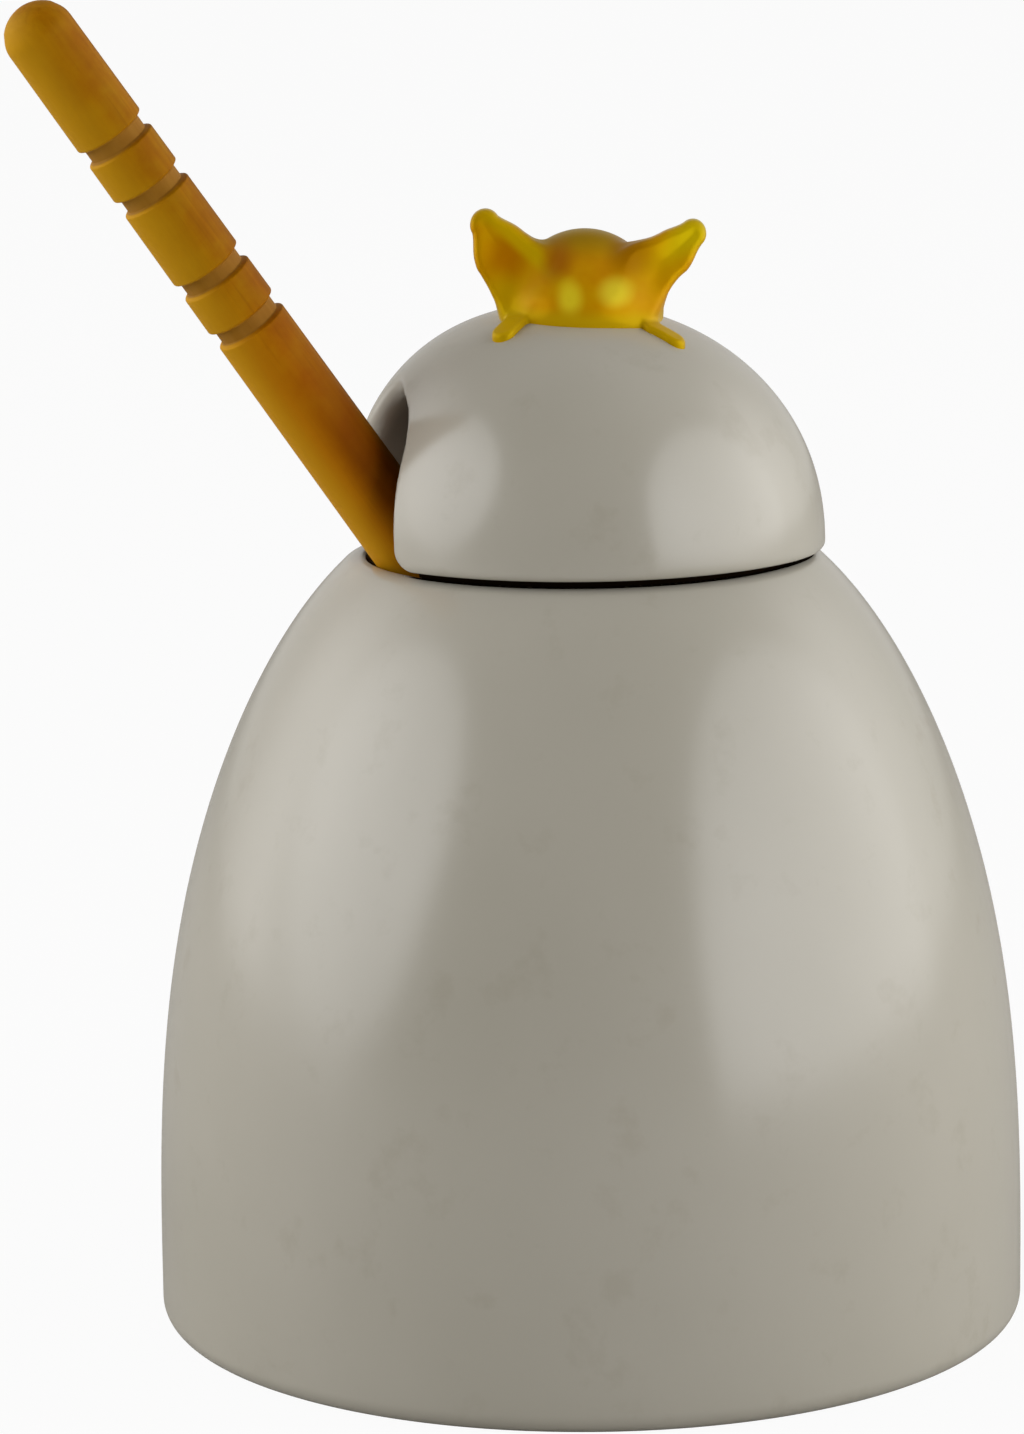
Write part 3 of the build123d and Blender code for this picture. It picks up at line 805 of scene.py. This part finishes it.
# ---------------------------------------------------------------- dipper
def lean_on_rim():
    """The dipper's lean and the place of its foot, out along the notch and up, as the CAD finds them."""
    stand_off = MOUTH_ROUND + REST_GAP + HANDLE_RADIUS
    end_core = BARREL_RADIUS - BARREL_END_ROUND
    tilt = atan2(POT_RADIUS, POT_HEIGHT)
    for _ in range(40):
        out = BARREL_WALL_GAP - INSIDE_RADIUS + BARREL_END_ROUND * (1 - sin(tilt)) + end_core * cos(tilt)
        up = POT_FLOOR + REST_GAP + BARREL_END_ROUND * (1 - cos(tilt)) + end_core * sin(tilt)
        away, rise = MOUTH_RADIUS + MOUTH_ROUND - out, POT_HEIGHT - MOUTH_ROUND - up
        tilt = acos(stand_off / hypot(away, rise)) - atan2(rise, away)
    return tilt, out, up


def dipper_place():
    """The dipper's own frame: origin at its foot, Z up along it and X towards the front."""
    lean, foot_out, foot_up = lean_on_rim()
    out_x, out_y = NOTCH_OUT
    axis = Vector((out_x * sin(lean), out_y * sin(lean), cos(lean)))
    side = Vector((-out_y, out_x, 0))
    turn = Matrix((side, axis.cross(side), axis)).transposed().to_4x4()
    return Matrix.Translation(Vector((out_x * foot_out, out_y * foot_out, foot_up)) * MM) @ turn


def handle_profile():
    """From the spigot's hidden end up over the grooves to the tip of the domed end."""
    cap_radius = (HANDLE_TOP_RADIUS ** 2 + HANDLE_END_RISE ** 2) / (2 * HANDLE_END_RISE)
    taper = (HANDLE_RADIUS - HANDLE_TOP_RADIUS) / (HANDLE_TAPER - HANDLE_END_RISE)
    corners = [(0, SPIGOT_END), (SPIGOT_RADIUS, SPIGOT_END), (SPIGOT_RADIUS, HEAD_LENGTH),
               (HANDLE_RADIUS, HEAD_LENGTH), (HANDLE_RADIUS, DIPPER_LENGTH - HANDLE_TAPER)]
    rounds = [SPIGOT_END_ROUND, 0, HANDLE_FOOT_ROUND, TAPER_ROUND]
    for place in reversed(GROOVES):
        level = DIPPER_LENGTH - place
        skin = HANDLE_TOP_RADIUS + taper * (place - HANDLE_END_RISE)
        floor_radius = skin - GROOVE_DEPTH
        corners += [(skin, level - GROOVE_WIDTH / 2), (floor_radius, level - GROOVE_FLOOR / 2),
                    (floor_radius, level + GROOVE_FLOOR / 2), (skin, level + GROOVE_WIDTH / 2)]
        rounds += GROOVE_ROUNDS
    corners += [(HANDLE_TOP_RADIUS, DIPPER_LENGTH - HANDLE_END_RISE)]
    rounds += [CAP_SOFTEN]
    steps = 12
    cap = [(cap_radius * sin(t), DIPPER_LENGTH - cap_radius * (1 - cos(t)))
           for t in (asin(HANDLE_TOP_RADIUS / cap_radius) * (1 - k / steps) for k in range(1, steps + 1))]
    # The cap's first points give way to the soft corner below it.
    soft = 3
    return rounded(corners + cap[soft:soft + 1], rounds) + cap[soft + 1:]


def head_profile():
    """The slotted barrel with its collar, and the bore for the spigot."""
    bore = SPIGOT_RADIUS + SPIGOT_CLEARANCE
    root = BARREL_RADIUS - SLOT_DEPTH
    corners = [(0, 0), (BARREL_RADIUS, 0)]
    rounds = [BARREL_END_ROUND]
    for k in range(SLOT_COUNT):
        level = SLOT_FIRST + k * SLOT_PITCH
        corners += [(BARREL_RADIUS, level - SLOT_WIDTH / 2), (root, level - SLOT_WIDTH / 2),
                    (root, level + SLOT_WIDTH / 2), (BARREL_RADIUS, level + SLOT_WIDTH / 2)]
        rounds += SLOT_ROUNDS
    corners += [(BARREL_RADIUS, BARREL_LENGTH), (COLLAR_RADIUS, BARREL_LENGTH), (COLLAR_RADIUS, HEAD_LENGTH),
                (bore, HEAD_LENGTH), (bore, SPIGOT_END - REST_GAP), (0, SPIGOT_END - REST_GAP)]
    rounds += [BARREL_SHOULDER, COLLAR_FOOT_ROUND, COLLAR_ROUND, 0, 0]
    return rounded(corners, rounds, 8)


# ---------------------------------------------------------------- stage
def add_camera():
    """The camera as it stood for the photograph."""
    data = bpy.data.cameras.new("camera")
    data.sensor_fit = "VERTICAL"
    data.sensor_height = SENSOR_HEIGHT
    data.lens = FOCAL_LENGTH / PHOTO_HEIGHT * SENSOR_HEIGHT
    data.clip_end = 20
    camera = bpy.data.objects.new("camera", data)
    bpy.context.scene.collection.objects.link(camera)
    forward = Vector((sin(YAW) * cos(PITCH), cos(YAW) * cos(PITCH), -sin(PITCH)))
    right = forward.cross(Vector((0, 0, 1))).normalized()
    up = right.cross(forward)
    right_rolled = right * cos(ROLL) + up * sin(ROLL)
    up_rolled = up * cos(ROLL) - right * sin(ROLL)
    turn = Matrix((right_rolled, up_rolled, -forward)).transposed()
    camera.matrix_world = Matrix.Translation(CAMERA_PLACE) @ turn.to_4x4()
    bpy.context.scene.camera = camera


def soft_disc(name, azimuth, elevation, radius, radiance, hot, fade):
    """A round lamp 1 m from the jar; azimuth 0 is in front of it, positive to the right.

    hot is where it is brightest, as a share of its width from its left edge, and fade is how far
    from there its light reaches nothing, as a share of its width.
    """
    data = bpy.data.lights.new(name, "AREA")
    data.shape = "DISK"
    data.size = 2 * radius
    data.energy = radiance * pi * pi * radius * radius
    n = Nodes(data)
    reach = n.add("ShaderNodeVectorMath", operation="DISTANCE")
    reach.inputs[1].default_value = (hot, 0.5, 0)
    n.link(n.add("ShaderNodeNewGeometry").outputs["Parametric"], reach.inputs[0])
    dim = n.span(reach.outputs["Value"], 0.0, fade, 1.0, 0.0)
    n.link(dim, n.tree.nodes["Emission"].inputs["Strength"])
    lamp = bpy.data.objects.new(name, data)
    bpy.context.scene.collection.objects.link(lamp)
    a, e = radians(azimuth), radians(elevation)
    away = Vector((sin(a) * cos(e), -cos(a) * cos(e), sin(e)))
    lamp.location = LAMPS_AIM + away
    lamp.rotation_euler = away.to_track_quat("Z", "Y").to_euler()


def add_world():
    """A soft room with brighter walls beside and behind the jar; the camera sees plain white."""
    world = bpy.data.worlds.new("studio")
    bpy.context.scene.world = world
    n = Nodes(world, "ShaderNodeOutputWorld")
    _, towards_back, upwards = n.axes(n.add("ShaderNodeTexCoord").outputs["Generated"])
    walls = n.add("ShaderNodeValToRGB")
    elements = walls.color_ramp.elements
    for place, level in WALL_LEVELS:
        elements.new(place).color = (*(level * tint for tint in WALL_TINT), 1)
    for spare in (elements[-1], elements[0]):
        elements.remove(spare)
    n.link(n.span(towards_back, -1.0, 1.0, curve="LINEAR"), walls.inputs[0])
    room = n.add("ShaderNodeBackground")
    n.link(walls.outputs[0], room.inputs[0])
    n.link(n.span(upwards, CEILING_FROM, CEILING_FULL, 1.0, CEILING_LEVEL), room.inputs[1])
    seen = n.add("ShaderNodeBackground")
    seen.inputs[0].default_value = (1, 1, 1, 1)
    seen.inputs[1].default_value = 1.0
    n.shader_mix(n.add("ShaderNodeLightPath").outputs["Is Camera Ray"], room, seen)


def add_floor():
    """A pale paper floor, nearly white to the camera but for the object's shadow."""
    mesh = bpy.data.meshes.new("floor")
    corners = [(x * FLOOR_REACH, y * FLOOR_REACH, 0) for x, y in ((-1, -1), (1, -1), (1, 1), (-1, 1))]
    mesh.from_pydata(corners, [], [(0, 1, 2, 3)])
    floor = bpy.data.objects.new("floor", mesh)
    bpy.context.scene.collection.objects.link(floor)
    m = new_material("floor_paper")
    paper = m.add("ShaderNodeBsdfDiffuse")
    paper.inputs[0].default_value = PAPER
    white = m.add("ShaderNodeEmission")
    white.inputs[0].default_value = (1, 1, 1, 1)
    white.inputs[1].default_value = 1.0
    seen = m.add("ShaderNodeLightPath").outputs["Is Camera Ray"]
    m.shader_mix(m.math("MULTIPLY", seen, PAPER_SHARE_WHITE), paper, white)
    mesh.materials.append(m.owner)


# ---------------------------------------------------------------- the pieces
glaze = glaze_material()
yellow = yellow_material()
handle_wood = wood_material("handle_wood", HANDLE_SKIN)
head_wood = wood_material("head_wood", HEAD_SKIN)

pot = new_object("glazed_jar", *lathe(jar_profile(), JAR_AROUND), glaze)
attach(pot, "pot")
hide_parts("pot")

lid_mesh = implicit_mesh(lid_distance, *LID_BOX, LID_CELL)
lid = new_object("glazed_lid", *lid_mesh, glaze)
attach(lid, "lid")
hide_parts("lid")

bee_mesh = implicit_mesh(bee_distance, *BEE_BOX, BEE_CELL)
bee = new_object("glazed_bee", *bee_mesh, yellow)
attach(bee, "lid")
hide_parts("bee_body", "bee_wing_left", "bee_wing_right", "bee_leg_left", "bee_leg_right")

stick_place = dipper_place()
for name, profile, material, node in (("turned_handle", handle_profile(), handle_wood, "dipper_handle"),
                                      ("turned_head", head_profile(), head_wood, "dipper_head")):
    piece = new_object(name, *lathe(profile, DIPPER_AROUND), material)
    piece.matrix_world = stick_place
    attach(piece, "dipper")
    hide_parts(node)

add_camera()
for lamp in LAMPS:
    soft_disc(*lamp)
add_world()
add_floor()

bpy.context.scene.view_settings.view_transform = "Standard"
